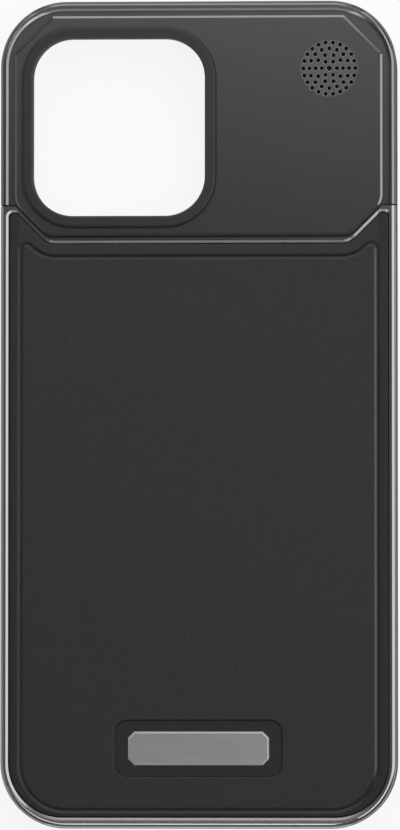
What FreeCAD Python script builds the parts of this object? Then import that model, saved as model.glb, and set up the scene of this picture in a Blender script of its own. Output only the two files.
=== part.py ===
# A phone case in two halves: a metal cap round the camera and a metal frame with an inlaid leather back.
# The case lies on its front lip with its back up: X runs across, Y along it towards the camera, Z up.
# The origin is at the middle of the case, on the plane of the front lip. Lengths are in millimetres.
import FreeCAD, Part
import math
import os

import Sketcher

SIZES = (
    # The phone that the case holds
    ("phone_width", 77.6, "width of the phone"),
    ("phone_length", 163.0, "length of the phone"),
    ("phone_depth", 8.25, "depth of the phone without its camera"),
    ("phone_corner", 11.5, "corner radius of the phone's outline"),
    ("phone_clearance", 0.15, "gap round the phone"),
    ("depth_clearance", 0.2, "gap in front of the lining"),
    # Metal walls that both halves share
    ("side_wall", 1.75, "thickness of the long walls"),
    ("end_wall", 3.3, "thickness of the end walls"),
    ("case_corner", 13.5, "corner radius of the case's outline"),
    ("back_round", 1.0, "rounding of the outer edge at the back"),
    ("front_round", 0.8, "rounding of the outer edge at the front"),
    ("lip_height", 1.0, "height of the lip in front of the screen"),
    ("lip_overlap", 0.7, "reach of the lip over the screen's border"),
    ("lip_chamfer", 0.4, "chamfer along the lip's inner edge"),
    # Layers of the back
    ("lining_thickness", 0.4, "thickness of the soft lining"),
    ("lining_margin", 0.5, "distance of the lining from the walls round it"),
    ("floor_thickness", 0.8, "thickness of the metal behind the leather"),
    ("leather_thickness", 1.1, "thickness of the leather"),
    ("leather_recess", 0.25, "depth of the leather below the rails"),
    ("deck_drop", 0.5, "depth of the channel between the cap's rail and its plate"),
    ("plate_rise", 0.35, "height of the plate above the rails"),
    # Rails as seen from the back
    ("side_rail", 1.6, "width of the long rails"),
    ("top_rail", 2.0, "width of the rail at the camera end"),
    ("bottom_rail", 2.2, "width of the rail at the port end"),
    ("bead_width", 1.1, "width of the bead between the leather and the cap's straight edge"),
    ("bead_slope_width", 0.65, "width of the bead along the cap's lower slopes"),
    ("rail_slope", 0.5, "width of the slope along the inner edge of the rails and the bead"),
    ("rail_slope_depth", 0.15, "depth of that slope"),
    ("leather_clearance", 0.05, "gap round the leather"),
    ("leather_corner", 11.2, "radius of the leather's lower corners"),
    ("ear_width", 1.75, "width of the leather's ears at their tips"),
    ("ear_round", 0.9, "rounding of the leather's ears"),
    # Where the cap meets the frame
    ("seam_gap", 0.3, "gap along the seam"),
    ("chevron_drop", 6.5, "reach of the cap's plate past its rails"),
    ("chevron_side", 9.5, "distance of the plate's straight lower edge from the long sides"),
    ("chevron_angle", 45, "slope of the plate's lower corners in degrees"),
    ("chevron_round", 3.0, "rounding where that slope meets the straight edge"),
    ("tongue_length", 4.0, "reach of the frame's tongues into the cap"),
    ("tongue_thickness", 0.8, "thickness of the tongues"),
    ("tongue_height", 6.5, "height of the tongues"),
    ("lap_length", 1.4, "reach of the frame's floor under the cap, all along the seam"),
    ("lap_inset", 0.1, "distance of that lap from the long walls"),
    ("slide_clearance", 0.1, "gap between what slides together"),
    # Raised plate of the cap
    ("plate_side", 2.9, "distance of the plate from the long sides"),
    ("plate_end", 3.05, "distance of the plate from the camera end"),
    ("plate_cut", 7.9, "size of the plate's cut upper corners"),
    ("plate_cut_round", 0.8, "rounding at the ends of those cuts"),
    ("plate_shoulder_round", 4.0, "rounding where the plate's sides meet its lower slopes"),
    ("plate_ledge", 0.15, "ledge between the plate and the cap's lower edge"),
    ("plate_bevel", 0.45, "width of the bevel round the plate"),
    ("plate_bevel_depth", 0.2, "depth of that bevel"),
    # Camera window and its guard ring
    ("window_width", 35.3, "width of the camera window"),
    ("window_length", 36.6, "length of the camera window"),
    ("window_corner", 8.2, "corner radius of the camera window"),
    ("window_from_side", 24.4, "distance of the window's middle from the long side"),
    ("window_from_top", 26.0, "distance of the window's middle from the camera end"),
    ("window_margin", 4.1, "distance of the window from the plate's lower edge"),
    ("guard_width", 2.3, "width of the guard ring"),
    ("guard_spigot", 0.8, "wall of the ring's spigot"),
    ("guard_seat_depth", 1.35, "depth of the ring's seat below the plate"),
    ("guard_rise", 1.05, "height of the ring above the plate"),
    ("guard_round", 0.5, "rounding of the ring's outer edge"),
    ("guard_chamfer", 0.35, "chamfer of the ring's inner edge"),
    ("fit_clearance", 0.05, "gap round pieces that are glued or pressed in"),
    # Grille and the scent tablet behind it
    ("grille_from_side", 13.8, "distance of the grille's middle from the long side"),
    ("grille_from_top", 14.0, "distance of the grille's middle from the camera end"),
    ("grille_hole", 0.74, "diameter of the holes"),
    ("grille_middle_hole", 0.94, "diameter of the hole in the middle"),
    ("grille_countersink", 0.18, "width of the holes' countersink"),
    ("grille_first_ring", 1.55, "radius of the innermost ring of holes"),
    ("grille_pitch", 1.26, "distance from one ring of holes to the next"),
    ("grille_skin", 0.7, "thickness of the plate where the holes are"),
    ("tablet_diameter", 13.0, "diameter of the scent tablet"),
    ("tablet_play", 0.1, "gap round the tablet"),
    ("cover_ledge", 1.5, "width of the ledge that the tablet's cover sits on"),
    ("cover_seat", 0.4, "depth of that ledge"),
    ("cover_grip_length", 7.0, "length of the slot that lifts the cover"),
    ("cover_grip_width", 1.2, "width of that slot"),
    ("cover_grip_depth", 0.35, "depth of that slot"),
    # Pressed lines of the leather
    ("groove_inset", 2.72, "distance of the pressed groove from the leather's chevron edge"),
    ("groove_side_inset", 2.35, "the same at the long sides"),
    ("groove_bottom_inset", 1.38, "the same at the port end"),
    ("groove_width", 0.2, "width of the groove's floor"),
    ("groove_depth", 0.3, "depth of the groove"),
    ("groove_slope", 0.5, "width of the slopes on both sides of the groove"),
    ("groove_slope_depth", 0.25, "depth of those slopes"),
    ("groove_round", 1.4, "rounding of the groove's upper corners"),
    ("groove_corner", 9.5, "rounding of the groove's lower corners"),
    ("leather_round", 0.4, "rounding of the leather's upper edge"),
    ("field_width", 34.0, "width of the pressed field round the badge"),
    ("field_length", 11.3, "length of the pressed field"),
    ("field_corner", 2.4, "corner radius of the pressed field"),
    ("field_depth", 0.35, "depth of the pressed field"),
    ("field_slope", 0.3, "width of the slope round the field"),
    ("badge_width", 28.9, "width of the badge"),
    ("badge_length", 6.9, "length of the badge"),
    ("badge_cut", 1.3, "size of the badge's cut corners"),
    ("badge_rise", 0.15, "height of the badge above the leather"),
    ("badge_bevel", 0.4, "bevel round the badge"),
    ("badge_from_bottom", 16.4, "distance of the badge's middle from the port end"),
    # Keys in the side walls
    ("key_height", 3.0, "height of a key's face"),
    ("volume_key_length", 11.0, "length of each volume key"),
    ("volume_from_seam", 3.8, "distance of the upper volume key from the seam"),
    ("volume_gap", 3.0, "distance between the volume keys"),
    ("power_key_length", 17.0, "length of the power key"),
    ("power_from_seam", 7.8, "distance of the power key from the seam"),
    ("key_travel", 0.35, "travel of a key"),
    ("key_play", 0.05, "gap at each end of a key's travel"),
    ("key_clearance", 0.1, "gap round a key in its slot"),
    ("key_flange", 0.3, "thickness of a key's flange"),
    ("key_flange_reach", 0.7, "reach of a key's flange past its face"),
    ("key_round", 0.2, "rounding of a key's outer edge"),
    ("key_nub_inset", 2.2, "distance of a key's inner nub from the ends of its face"),
    ("key_nub_lower", 0.7, "distance of a key's inner nub from the long edges of its face"),
    ("key_nub_reach", 0.25, "reach of a key's inner nub past its flange"),
    ("bay_depth", 0.35, "depth of the finger bay round the keys"),
    ("bay_reach", 1.3, "reach of the finger bay past the keys' faces"),
    ("bay_corner", 2.0, "corner radius of the finger bay"),
    ("retainer_thickness", 0.2, "thickness of the strips behind the keys"),
    ("retainer_reach", 1.6, "reach of those strips past the keys' faces"),
    ("retainer_corner", 1.0, "corner radius of those strips"),
    ("retainer_slot_height", 2.2, "height of the slots in those strips"),
    # Openings for the phone's own controls
    ("switch_length", 9.0, "length of the window for the phone's side switch"),
    ("switch_height", 5.2, "height of that window"),
    ("switch_from_seam", 4.8, "distance of that window from the seam"),
    ("port_width", 13.5, "width of the port opening"),
    ("port_height", 6.4, "height of the port opening"),
    ("vent_hole", 1.6, "diameter of the sound holes beside the port"),
    ("vent_pitch", 2.8, "distance between the sound holes"),
    ("vent_start", 12.0, "distance of the first sound hole from the port's middle"),
)
GRILLE_RING_HOLES = (6, 10, 16, 22)
VENT_HOLES = 5
# How far cuts that pass right through something run beyond it, in millimetres
OVERRUN = 1.0
TOLERANCE = 1e-4

doc = FreeCAD.newDocument("phone_case")
sheet = doc.addObject("Spreadsheet::Sheet", "sizes")
for row, (alias, number, meaning) in enumerate(SIZES, start=1):
    sheet.set(f"A{row}", meaning)
    sheet.set(f"B{row}", str(number))
    sheet.setAlias(f"B{row}", alias)
doc.recompute()

# Lengths that follow from the sheet, as expressions
CAVITY_HALF_X = "(sizes.phone_width / 2 + sizes.phone_clearance)"
CAVITY_HALF_Y = "(sizes.phone_length / 2 + sizes.phone_clearance)"
CAVITY_CORNER = "(sizes.phone_corner + sizes.phone_clearance)"
CASE_HALF_X = f"({CAVITY_HALF_X} + sizes.side_wall)"
CASE_HALF_Y = f"({CAVITY_HALF_Y} + sizes.end_wall)"
MID_DEPTH = "(sizes.lip_height + sizes.phone_depth / 2)"
LINING_FACE = "(sizes.lip_height + sizes.phone_depth + sizes.depth_clearance)"
INNER_FACE = f"({LINING_FACE} + sizes.lining_thickness)"
FLOOR_TOP = f"({INNER_FACE} + sizes.floor_thickness)"
LEATHER_TOP = f"({FLOOR_TOP} + sizes.leather_thickness)"
RAIL_TOP = f"({LEATHER_TOP} + sizes.leather_recess)"
DECK = f"({RAIL_TOP} - sizes.deck_drop)"
PLATE_TOP = f"({RAIL_TOP} + sizes.plate_rise)"
WINDOW_X = f"(sizes.window_from_side - {CASE_HALF_X})"
WINDOW_Y = f"({CASE_HALF_Y} - sizes.window_from_top)"
CAP_EDGE = f"({WINDOW_Y} - sizes.window_length / 2 - sizes.window_margin)"
CAP_END = f"({CAP_EDGE} + sizes.chevron_drop)"
FRAME_END = f"({CAP_END} - sizes.seam_gap)"
FRAME_EDGE = f"({CAP_EDGE} - sizes.seam_gap)"
SLOPE = "(sizes.chevron_angle * 1 deg)"
CHEVRON_HALF = f"({CASE_HALF_X} - sizes.chevron_side)"
LAP_HALF = f"({CAVITY_HALF_X} - sizes.lap_inset)"
GUARD_SEAT = f"({PLATE_TOP} - sizes.guard_seat_depth)"
GRILLE_X = f"({CASE_HALF_X} - sizes.grille_from_side)"
GRILLE_Y = f"({CASE_HALF_Y} - sizes.grille_from_top)"
TABLET_TOP = f"({PLATE_TOP} - sizes.grille_skin)"
COVER_TOP = f"({INNER_FACE} + sizes.cover_seat)"
TABLET_RADIUS = "(sizes.tablet_diameter / 2)"
COVER_RADIUS = f"({TABLET_RADIUS} + sizes.tablet_play + sizes.cover_ledge)"
BADGE_Y = f"(sizes.badge_from_bottom - {CASE_HALF_Y})"
VOLUME_PITCH = "(sizes.volume_key_length + sizes.volume_gap)"
VOLUME_UP_Y = f"({FRAME_END} - sizes.volume_from_seam - sizes.volume_key_length / 2)"
VOLUME_DOWN_Y = f"({VOLUME_UP_Y} - {VOLUME_PITCH})"
VOLUME_MID_Y = f"({VOLUME_UP_Y} - {VOLUME_PITCH} / 2)"
POWER_Y = f"({FRAME_END} - sizes.power_from_seam - sizes.power_key_length / 2)"
# Each row of keys: the keys' middles, a key's length, the row's middle and its outermost middles' distance
VOLUME_ROW = ((VOLUME_UP_Y, VOLUME_DOWN_Y), "sizes.volume_key_length", VOLUME_MID_Y, VOLUME_PITCH)
POWER_ROW = ((POWER_Y,), "sizes.power_key_length", POWER_Y, "0")
FLANGE_POCKET = "(sizes.retainer_thickness + sizes.key_travel + sizes.key_flange + 2 * sizes.key_play)"
FLANGE_OUTSIDE = f"({CAVITY_HALF_X} + {FLANGE_POCKET} - sizes.key_play)"
FLANGE_INSIDE = f"({FLANGE_OUTSIDE} - sizes.key_flange)"


def value(expression):
    """The number that an expression on the sheet comes to."""
    return float(sheet.evalExpression(expression))


def new_body(name):
    body = doc.addObject("PartDesign::Body", name)
    body.Label = name
    return body


def new_sketch(body, name, level="0", role="XY_Plane", across="0", along="0"):
    """A sketch parallel to an origin plane, moved out by level and, in the plane, by across and along."""
    sketch = body.newObject("Sketcher::SketchObject", f"{body.Label}_{name}")
    plane = next(item for item in body.Origin.OriginFeatures if item.Role == role)
    sketch.AttachmentSupport = [(plane, "")]
    sketch.MapMode = "FlatFace"
    sketch.setExpression("AttachmentOffset.Base.x", across)
    sketch.setExpression("AttachmentOffset.Base.y", along)
    sketch.setExpression("AttachmentOffset.Base.z", level)
    return sketch


def bind(sketch, kind, place, expression):
    """Adds a dimension to the sketch and ties it to an expression."""
    index = sketch.addConstraint(Sketcher.Constraint(kind, *place, value(expression)))
    name = f"size_{index}"
    sketch.renameConstraint(index, name)
    sketch.setExpression(f"Constraints.{name}", expression)


def relate(sketch, kind, *place):
    sketch.addConstraint(Sketcher.Constraint(kind, *place))


def place_point(sketch, geometry, spot, x, y):
    """Sets a point's distances from the sketch's axes."""
    for kind, expression, axis in (("DistanceX", x, -2), ("DistanceY", y, -1)):
        if expression == "0":
            relate(sketch, "PointOnObject", geometry, spot, axis)
        else:
            bind(sketch, kind, (-1, 1, geometry, spot), expression)


def draw_outline(sketch, corners):
    """Draws a closed outline through corners, each given as x, y and the radius that rounds it."""
    count = len(corners)
    points = [FreeCAD.Vector(value(x), value(y), 0) for x, y, radius in corners]
    radii = [value(radius) for x, y, radius in corners]
    backward = [(points[i - 1] - points[i]).normalize() for i in range(count)]
    forward = [(points[(i + 1) % count] - points[i]).normalize() for i in range(count)]
    half_angles = [backward[i].getAngle(forward[i]) / 2 for i in range(count)]
    reaches = [radii[i] / math.tan(half_angles[i]) for i in range(count)]
    lines = []
    for i in range(count):
        j = (i + 1) % count
        start = points[i] + forward[i] * reaches[i]
        end = points[j] + backward[j] * reaches[j]
        lines.append(sketch.addGeometry(Part.LineSegment(start, end), False))
    for i, (x, y, radius) in enumerate(corners):
        mark = sketch.addGeometry(Part.Point(points[i]), True)
        place_point(sketch, mark, 1, x, y)
        if radii[i] == 0:
            relate(sketch, "Coincident", lines[i - 1], 2, mark, 1)
            relate(sketch, "Coincident", lines[i], 1, mark, 1)
            continue
        bisector = (backward[i] + forward[i]).normalize()
        centre = points[i] + bisector * (radii[i] / math.sin(half_angles[i]))
        arrival = points[i] + backward[i] * reaches[i] - centre
        departure = points[i] + forward[i] * reaches[i] - centre
        left_turn = arrival.cross(departure).z > 0
        first, last = (arrival, departure) if left_turn else (departure, arrival)
        circle = Part.Circle(centre, FreeCAD.Vector(0, 0, 1), radii[i])
        angles = [math.atan2(spoke.y, spoke.x) for spoke in (first, last)]
        arc = sketch.addGeometry(Part.ArcOfCircle(circle, *angles), False)
        relate(sketch, "Tangent", lines[i - 1], 2, arc, 1 if left_turn else 2)
        relate(sketch, "Tangent", lines[i], 1, arc, 2 if left_turn else 1)
        relate(sketch, "PointOnObject", mark, 1, lines[i - 1])
        relate(sketch, "PointOnObject", mark, 1, lines[i])
        bind(sketch, "Radius", (arc,), radius)


def draw_circle(sketch, x, y, diameter):
    centre = FreeCAD.Vector(value(x), value(y), 0)
    circle = Part.Circle(centre, FreeCAD.Vector(0, 0, 1), value(diameter) / 2)
    index = sketch.addGeometry(circle, False)
    place_point(sketch, index, 3, x, y)
    bind(sketch, "Diameter", (index,), diameter)


def draw_slot(sketch, x, y, length, height):
    """Draws a slot with round ends, its length along the sketch's x axis."""
    radius = f"({height}) / 2"
    reach = f"(({length}) - ({height})) / 2"
    ends = [f"({x}) + {reach}", f"({x}) - {reach}"]
    size = value(radius)
    arcs = []
    for end, turn in zip(ends, (-0.5, 0.5)):
        circle = Part.Circle(FreeCAD.Vector(value(end), value(y), 0), FreeCAD.Vector(0, 0, 1), size)
        start = turn * math.pi
        arcs.append(sketch.addGeometry(Part.ArcOfCircle(circle, start, start + math.pi), False))
        place_point(sketch, arcs[-1], 3, end, y)
    for first, second in (arcs, arcs[::-1]):
        start = sketch.Geometry[first].EndPoint
        end = sketch.Geometry[second].StartPoint
        line = sketch.addGeometry(Part.LineSegment(start, end), False)
        relate(sketch, "Tangent", first, 2, line, 1)
        relate(sketch, "Tangent", line, 2, second, 1)
    bind(sketch, "Radius", (arcs[0],), radius)


def rectangle(half_x, half_y, radius, x="0", y="0"):
    """Corners of a rounded rectangle."""
    return [
        (f"({x}) + {half_x}", f"({y}) - {half_y}", radius),
        (f"({x}) + {half_x}", f"({y}) + {half_y}", radius),
        (f"({x}) - {half_x}", f"({y}) + {half_y}", radius),
        (f"({x}) - {half_x}", f"({y}) - {half_y}", radius),
    ]


def mirrored(right_side):
    """Corners of an outline that is the same on both sides of the Y axis, from those on the right."""
    return right_side + [(f"-({x})", y, radius) for x, y, radius in reversed(right_side)]


def chevron_corner(edge, inset):
    """Where a line along the plate's lower edge, moved down by inset, turns into the slope."""
    return f"{CHEVRON_HALF} + ({inset}) * tan({SLOPE} / 2)", f"{edge} - ({inset})"


def chevron_x(edge, inset, height):
    """How far from the middle the slope, moved down by inset, reaches a given height."""
    run = f"(({height}) - {edge}) / tan({SLOPE})"
    return f"{CHEVRON_HALF} + {run} + ({inset}) / sin({SLOPE})"


def chevron_height(edge, inset, x):
    """The height at which the slope, moved down by inset, is a given distance from the middle."""
    run = f"(({x}) - {CHEVRON_HALF} - ({inset}) / sin({SLOPE}))"
    return f"{edge} + {run} * tan({SLOPE})"


def pad(body, sketch, length):
    """Adds the sketch's outline as a solid, along the sketch's normal."""
    feature = body.newObject("PartDesign::Pad", f"{sketch.Name}_pad")
    feature.Profile = sketch
    feature.setExpression("Length", length)
    doc.recompute()
    return feature


def pocket(body, sketch, length, along_normal=False):
    """Cuts the sketch's outline out of the body, against the sketch's normal or along it."""
    before = body.Tip.Shape.Volume
    feature = body.newObject("PartDesign::Pocket", f"{sketch.Name}_pocket")
    feature.Profile = sketch
    feature.Reversed = along_normal
    feature.setExpression("Length", length)
    doc.recompute()
    if feature.Shape.Volume > before - TOLERANCE:
        raise ValueError(f"{feature.Name} cuts nothing")
    return feature


def edges_at(feature, level, test=None):
    """Names of the edges that lie at one height and, where a test is given, pass it."""
    height = value(level)
    names = []
    for number, edge in enumerate(feature.Shape.Edges, start=1):
        heights = [vertex.Z for vertex in edge.Vertexes] + [edge.CenterOfMass.z]
        flat = all(abs(z - height) < TOLERANCE for z in heights)
        if flat and (test is None or test(edge)):
            names.append(f"Edge{number}")
    return names


def inside(half_x, half_y):
    """A test for edges within a rectangle round the origin."""
    limits = value(half_x) + TOLERANCE, value(half_y) + TOLERANCE
    return lambda edge: all(
        abs(vertex.X) < limits[0] and abs(vertex.Y) < limits[1] for vertex in edge.Vertexes
    )


def above_walls(feature, level):
    """A test for edges of the upright faces that start at a level."""
    height = value(level)
    walls = []
    for face in feature.Shape.Faces:
        upright = abs(face.normalAt(0, 0).z) < TOLERANCE
        if upright and abs(face.BoundBox.ZMin - height) < TOLERANCE:
            walls += face.Edges
    return lambda edge: any(edge.isSame(other) for other in walls)


def fillet(body, base, names, radius):
    feature = body.newObject("PartDesign::Fillet", f"{base.Name}_fillet")
    feature.Base = (base, names)
    feature.setExpression("Radius", radius)
    doc.recompute()
    return feature


def chamfer(body, base, names, size):
    feature = body.newObject("PartDesign::Chamfer", f"{base.Name}_chamfer")
    feature.Base = (base, names)
    feature.setExpression("Size", size)
    doc.recompute()
    return feature


def slope(body, base, names, width, depth):
    """A chamfer that is wider on the upper face than it is deep."""
    feature = chamfer(body, base, names, width)
    feature.ChamferType = "Two distances"
    feature.setExpression("Size2", depth)
    sides = base.Shape.ancestorsOfType(base.Shape.getElement(names[0]), Part.Face)
    wall_first = abs(sides[0].normalAt(0, 0).z) < TOLERANCE
    feature.FlipDirection = wall_first
    doc.recompute()
    return feature


def hollow_block(body):
    """The whole case as one block, with rounded edges, room for the phone and the lip in front of it."""
    outline = new_sketch(body, "outline")
    draw_outline(outline, rectangle(CASE_HALF_X, CASE_HALF_Y, "sizes.case_corner"))
    block = pad(body, outline, RAIL_TOP)
    block = fillet(body, block, edges_at(block, RAIL_TOP), "sizes.back_round")
    fillet(body, block, edges_at(block, "0"), "sizes.front_round")

    room = new_sketch(body, "phone_room", "sizes.lip_height")
    draw_outline(room, rectangle(CAVITY_HALF_X, CAVITY_HALF_Y, CAVITY_CORNER))
    pocket(body, room, f"{INNER_FACE} - sizes.lip_height", along_normal=True)

    screen = new_sketch(body, "screen_window")
    screen_x = f"({CAVITY_HALF_X} - sizes.lip_overlap)"
    screen_y = f"({CAVITY_HALF_Y} - sizes.lip_overlap)"
    draw_outline(screen, rectangle(screen_x, screen_y, f"{CAVITY_CORNER} - sizes.lip_overlap"))
    lip = pocket(body, screen, "sizes.lip_height", along_normal=True)
    chamfer(body, lip, edges_at(lip, "0", inside(screen_x, screen_y)), "sizes.lip_chamfer")


def cut_at_seam(body, name, end, edge, far):
    """Cuts away the part of the case on one side of the seam and its chevron, out to the height far."""
    reach = f"({CASE_HALF_X} + {OVERRUN})"
    cut = new_sketch(body, name)
    right_side = [
        (reach, far, "0"),
        (reach, end, "0"),
        (chevron_x(edge, "0", end), end, "0"),
        (*chevron_corner(edge, "0"), "sizes.chevron_round"),
    ]
    draw_outline(cut, mirrored(right_side))
    pocket(body, cut, f"{PLATE_TOP} + {OVERRUN}", along_normal=True)


def make_upper_shell():
    body = new_body("upper_shell")
    hollow_block(body)
    cut_at_seam(body, "seam", CAP_END, CAP_EDGE, f"-{CASE_HALF_Y} - {OVERRUN}")

    # Channel between the rail and the raised plate
    deck = new_sketch(body, "deck", RAIL_TOP)
    deck_x = f"({CASE_HALF_X} - sizes.side_rail)"
    deck_y = f"({CASE_HALF_Y} - sizes.top_rail)"
    deck_right = [
        (deck_x, f"{CAP_EDGE} - {OVERRUN}", "0"),
        (deck_x, deck_y, "sizes.case_corner - sizes.top_rail"),
    ]
    draw_outline(deck, mirrored(deck_right))
    channel = pocket(body, deck, "sizes.deck_drop")
    rim = edges_at(channel, RAIL_TOP, above_walls(channel, DECK))
    slope(body, channel, rim, "sizes.rail_slope", "sizes.rail_slope_depth")

    # Raised plate with cut upper corners, its lower edge along the chevron
    plate = new_sketch(body, "plate", DECK)
    plate_x = f"({CASE_HALF_X} - sizes.plate_side)"
    plate_y = f"({CASE_HALF_Y} - sizes.plate_end)"
    plate_right = [
        (*chevron_corner(CAP_EDGE, "-sizes.plate_ledge"), "sizes.chevron_round"),
        (plate_x, chevron_height(CAP_EDGE, "-sizes.plate_ledge", plate_x), "sizes.plate_shoulder_round"),
        (plate_x, f"{plate_y} - sizes.plate_cut", "sizes.plate_cut_round"),
        (f"{plate_x} - sizes.plate_cut", plate_y, "sizes.plate_cut_round"),
    ]
    draw_outline(plate, mirrored(plate_right))
    raised = pad(body, plate, f"{PLATE_TOP} - {DECK}")
    slope(body, raised, edges_at(raised, PLATE_TOP), "sizes.plate_bevel", "sizes.plate_bevel_depth")

    # Camera window, with the seat of the guard ring
    window = new_sketch(body, "window", INNER_FACE)
    draw_outline(window, window_outline("sizes.guard_spigot + sizes.fit_clearance"))
    pocket(body, window, f"{PLATE_TOP} - {INNER_FACE} + {OVERRUN}", along_normal=True)
    seat = new_sketch(body, "guard_seat", GUARD_SEAT)
    draw_outline(seat, window_outline("sizes.guard_width + sizes.fit_clearance"))
    pocket(body, seat, f"sizes.guard_seat_depth + {OVERRUN}", along_normal=True)

    # Pocket of the scent tablet and the ledge of its cover
    tablet = new_sketch(body, "tablet_pocket", INNER_FACE)
    draw_circle(tablet, GRILLE_X, GRILLE_Y, "sizes.tablet_diameter + 2 * sizes.tablet_play")
    pocket(body, tablet, f"{TABLET_TOP} - {INNER_FACE}", along_normal=True)
    ledge = new_sketch(body, "cover_ledge", INNER_FACE)
    draw_circle(ledge, GRILLE_X, GRILLE_Y, f"2 * {COVER_RADIUS} + 2 * sizes.fit_clearance")
    pocket(body, ledge, "sizes.cover_seat", along_normal=True)
    drill_grille(body)

    # Room for the frame's lap and tongues
    lap = new_sketch(body, "lap_room", INNER_FACE)
    draw_outline(lap, lap_outline("sizes.slide_clearance"))
    pocket(body, lap, "sizes.floor_thickness + sizes.slide_clearance", along_normal=True)
    tongue_floor = f"{MID_DEPTH} - sizes.tongue_height / 2 - sizes.slide_clearance"
    tongues = new_sketch(body, "tongue_rooms", tongue_floor)
    tongue_inner = f"{CAVITY_HALF_X} - {OVERRUN}"
    tongue_outer = f"{CAVITY_HALF_X} + sizes.tongue_thickness + sizes.slide_clearance"
    tongue_top = f"{CAP_END} + sizes.tongue_length + sizes.slide_clearance"
    draw_both_sides(tongues, tongue_inner, tongue_outer, f"{CAP_END} - {OVERRUN}", tongue_top)
    pocket(body, tongues, "sizes.tongue_height + 2 * sizes.slide_clearance", along_normal=True)

    # Window for the phone's side switch
    switch = new_sketch(body, "switch_window", CASE_HALF_X, "YZ_Plane")
    switch_y = f"{CAP_END} + sizes.switch_from_seam + sizes.switch_length / 2"
    draw_slot(switch, switch_y, MID_DEPTH, "sizes.switch_length", "sizes.switch_height")
    pocket(body, switch, f"sizes.side_wall + {OVERRUN}")
    return body


def lap_outline(clearance):
    """Corners of the band by which the frame's floor reaches under the cap, grown by a clearance."""
    reach = f"(sizes.lap_length + {clearance})"
    half = f"{LAP_HALF} + {clearance}"
    low = f"{FRAME_END} - {OVERRUN}"
    high = f"{CAP_END} + {reach}"
    return mirrored([
        (*chevron_corner(FRAME_EDGE, OVERRUN), "0"),
        (chevron_x(FRAME_EDGE, OVERRUN, low), low, "0"),
        (half, low, "0"),
        (half, high, "0"),
        (chevron_x(CAP_EDGE, f"-{reach}", high), high, "0"),
        (*chevron_corner(CAP_EDGE, f"-{reach}"), "0"),
    ])


def draw_both_sides(sketch, inner, outer, low, high):
    """Draws one rectangle beside each long wall."""
    for side in ("", "-"):
        corners = [(inner, low), (outer, low), (outer, high), (inner, high)]
        draw_outline(sketch, [(f"{side}({x})", y, "0") for x, y in corners])


def window_outline(margin):
    """Corners of the camera window's outline, grown by a margin."""
    half_x = f"(sizes.window_width / 2 + {margin})"
    half_y = f"(sizes.window_length / 2 + {margin})"
    return rectangle(half_x, half_y, f"sizes.window_corner + {margin}", WINDOW_X, WINDOW_Y)


def drill_grille(body):
    """Drills the countersunk holes of the grille: one in the middle and rings round it."""
    rings = [("0", "sizes.grille_middle_hole", 1)]
    for ring, holes in enumerate(GRILLE_RING_HOLES):
        rings.append((f"sizes.grille_first_ring + {ring} * sizes.grille_pitch", "sizes.grille_hole", holes))
    for ring, (radius, diameter, holes) in enumerate(rings):
        sketch = new_sketch(body, f"grille_ring_{ring}", PLATE_TOP, across=GRILLE_X, along=GRILLE_Y)
        draw_circle(sketch, radius, "0", diameter)
        doc.recompute()
        drill = body.newObject("PartDesign::Hole", f"{sketch.Name}_hole")
        drill.Profile = sketch
        drill.setExpression("Diameter", diameter)
        drill.DepthType = "Dimension"
        drill.DrillPoint = "Flat"
        drill.setExpression("Depth", f"sizes.grille_skin + {OVERRUN} / 2")
        drill.HoleCutType = "Countersink"
        drill.HoleCutCustomValues = True
        drill.setExpression("HoleCutDiameter", f"{diameter} + 2 * sizes.grille_countersink")
        drill.HoleCutCountersinkAngle = 90
        doc.recompute()
        if holes > 1:
            pattern = body.newObject("PartDesign::PolarPattern", f"{sketch.Name}_pattern")
            pattern.Originals = [drill]
            pattern.Axis = (sketch, ["N_Axis"])
            pattern.Angle = 360
            pattern.Occurrences = holes
            body.Tip = pattern
            doc.recompute()


def make_camera_guard():
    """The ring round the camera: a flange on the cap's plate with a spigot down through the window."""
    body = new_body("camera_guard")
    ring_top = f"{PLATE_TOP} + sizes.guard_rise"
    flange = new_sketch(body, "flange", GUARD_SEAT)
    draw_outline(flange, window_outline("sizes.guard_width"))
    ring = pad(body, flange, f"{ring_top} - {GUARD_SEAT}")
    fillet(body, ring, edges_at(ring, ring_top), "sizes.guard_round")
    spigot = new_sketch(body, "spigot", INNER_FACE)
    draw_outline(spigot, window_outline("sizes.guard_spigot"))
    pad(body, spigot, f"{GUARD_SEAT} - {INNER_FACE}")
    window = new_sketch(body, "window", INNER_FACE)
    draw_outline(window, window_outline("0"))
    opening = pocket(body, window, f"{ring_top} - {INNER_FACE}", along_normal=True)
    rim = edges_at(opening, ring_top, above_walls(opening, INNER_FACE))
    chamfer(body, opening, rim, "sizes.guard_chamfer")
    return body


def make_scent_tablet():
    tablet = doc.addObject("Part::Cylinder", "scent_tablet")
    tablet.Label = "scent_tablet"
    tablet.setExpression("Radius", TABLET_RADIUS)
    tablet.setExpression("Height", f"{TABLET_TOP} - {COVER_TOP} - sizes.tablet_play")
    tablet.setExpression("Placement.Base.x", GRILLE_X)
    tablet.setExpression("Placement.Base.y", GRILLE_Y)
    tablet.setExpression("Placement.Base.z", COVER_TOP)
    return tablet


def make_scent_cover():
    """The lid of the tablet's pocket, level with the lining, with a slot to lift it by."""
    body = new_body("scent_cover")
    disc = new_sketch(body, "disc", LINING_FACE)
    draw_circle(disc, GRILLE_X, GRILLE_Y, f"2 * {COVER_RADIUS}")
    pad(body, disc, f"{COVER_TOP} - {LINING_FACE}")
    grip = new_sketch(body, "grip", LINING_FACE)
    draw_slot(grip, GRILLE_X, GRILLE_Y, "sizes.cover_grip_length", "sizes.cover_grip_width")
    pocket(body, grip, "sizes.cover_grip_depth", along_normal=True)
    return body


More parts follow.
